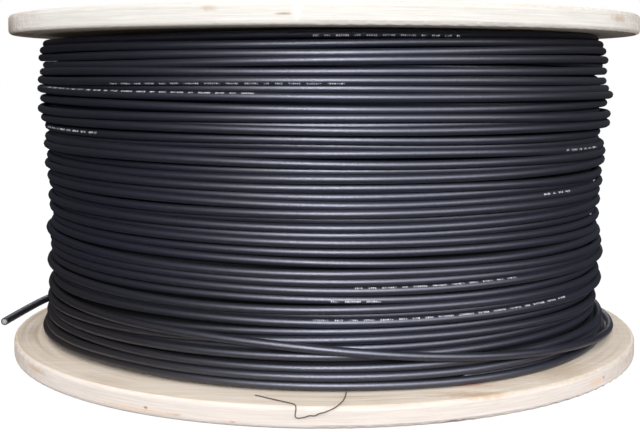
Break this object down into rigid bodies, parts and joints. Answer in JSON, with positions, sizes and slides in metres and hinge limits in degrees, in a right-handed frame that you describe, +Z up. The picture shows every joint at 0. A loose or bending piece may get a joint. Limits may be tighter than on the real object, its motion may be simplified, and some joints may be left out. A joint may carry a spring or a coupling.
{
  "type": "reel of solar cable",
  "caption": "Plywood reel full of black solar cable, standing on one flange, with a spindle bore through both flanges and the cut end of the cable sticking out beside the winding.",
  "frame": {"origin": "centre of the lower flange's underside, on the floor", "axes": "+Z up along the spindle axis, -Y towards the side that the picture shows"},
  "size_m": [0.5199, 0.5229, 0.274],
  "materials": {
    "plywood": "pale bare plywood, ply lines on the rim, long grain on the faces",
    "barrel_board": "bare rolled plywood board",
    "cable_sheath": "black cross-linked sheath with a soft sheen",
    "thread": "dark loose thread",
    "zinc_steel": "zinc-plated fasteners"
  },
  "bodies": {
    "root": {"bottom_flange": "plywood", "top_flange": "plywood", "barrel": "barrel_board", "cable_winding": "cable_sheath", "cable_tail": "cable_sheath", "loose_thread": "thread", "tie_rod_1": "zinc_steel", "tie_rod_2": "zinc_steel", "tie_rod_3": "zinc_steel", "tie_rod_4": "zinc_steel", "bottom_washer_1": "zinc_steel", "bottom_washer_2": "zinc_steel", "bottom_washer_3": "zinc_steel", "bottom_washer_4": "zinc_steel", "bottom_nut_1": "zinc_steel", "bottom_nut_2": "zinc_steel", "bottom_nut_3": "zinc_steel", "bottom_nut_4": "zinc_steel", "top_washer_1": "zinc_steel", "top_washer_2": "zinc_steel", "top_washer_3": "zinc_steel", "top_washer_4": "zinc_steel", "top_nut_1": "zinc_steel", "top_nut_2": "zinc_steel", "top_nut_3": "zinc_steel", "top_nut_4": "zinc_steel"}
  },
  "joints": []
}
